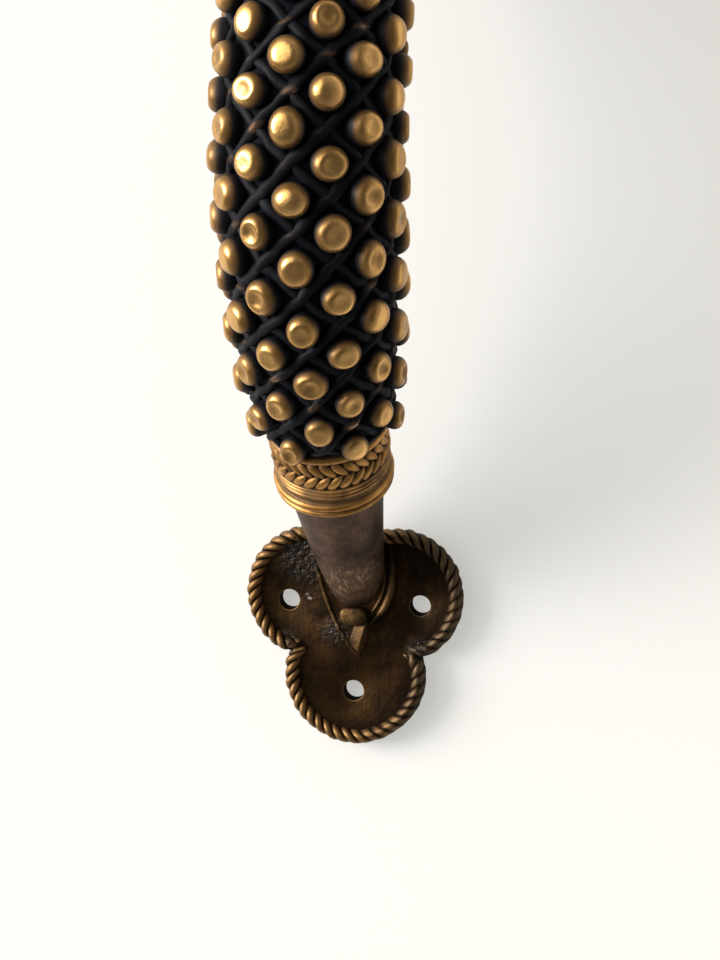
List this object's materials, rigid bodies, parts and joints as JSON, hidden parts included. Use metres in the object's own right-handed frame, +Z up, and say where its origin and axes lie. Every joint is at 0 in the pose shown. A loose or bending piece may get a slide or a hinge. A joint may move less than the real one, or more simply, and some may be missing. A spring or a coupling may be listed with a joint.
{
  "type": "door pull handle",
  "caption": "Bowed studded door pull with a rope-edged trefoil fixing plate at each end.",
  "frame": {"origin": "middle of the four outer screw holes, on the door plane", "axes": "+Z up along the handle, +Y into the door, -Y to the front, +X to the right seen from the front"},
  "size_m": [0.0482, 0.0777, 0.2702],
  "materials": {
    "grip_bronze": "cast bronze, black patina, rubbed to gold on the knobs and collars",
    "bracket_bronze": "cast bronze, dark brown patina, rubbed bright on the rope edge"
  },
  "bodies": {
    "root": {"grip": "grip_bronze", "lower_bracket": "bracket_bronze", "upper_bracket": "bracket_bronze"}
  },
  "joints": []
}
